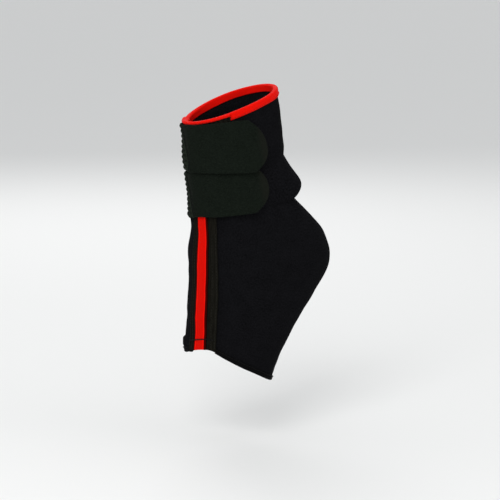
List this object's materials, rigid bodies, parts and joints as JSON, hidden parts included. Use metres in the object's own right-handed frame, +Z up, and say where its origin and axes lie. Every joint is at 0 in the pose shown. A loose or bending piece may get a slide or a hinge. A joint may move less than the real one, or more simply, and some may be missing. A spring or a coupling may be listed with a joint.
{
  "type": "wrap-style ankle brace",
  "caption": "Pull-on ankle sleeve of cloth-faced foam with a ribbed elastic front panel, a red stripe and rim, and hook-and-loop straps that close over the front.",
  "frame": {"origin": "centre of the ankle inside the sleeve, between the two ankle bones", "axes": "+Z up the leg, -Y towards the toes, +X towards the outer side of a left foot"},
  "size_m": [0.0769, 0.1346, 0.2451],
  "materials": {
    "sleeve_foam": "matte black knitted face on foam rubber",
    "ribbed_elastic": "matte dark olive-black rib-knitted elastic",
    "red_tape": "red woven tape, slightly shiny",
    "edge_tape": "matte black woven tape",
    "strap_elastic": "matte black elastic with lengthwise ribs",
    "tab_loop": "black brushed loop cloth",
    "hook": "matte black hook tape"
  },
  "bodies": {
    "root": {"outer_side_panel": "sleeve_foam", "inner_side_panel": "sleeve_foam", "front_panel": "ribbed_elastic", "front_stripe": "red_tape", "rim_binding": "red_tape", "front_binding": "red_tape", "foot_binding": "edge_tape", "upper_strap": "strap_elastic", "lower_strap": "strap_elastic", "upper_tab": "tab_loop", "lower_tab": "tab_loop", "upper_hook_patch": "hook", "lower_hook_patch": "hook"}
  },
  "joints": []
}
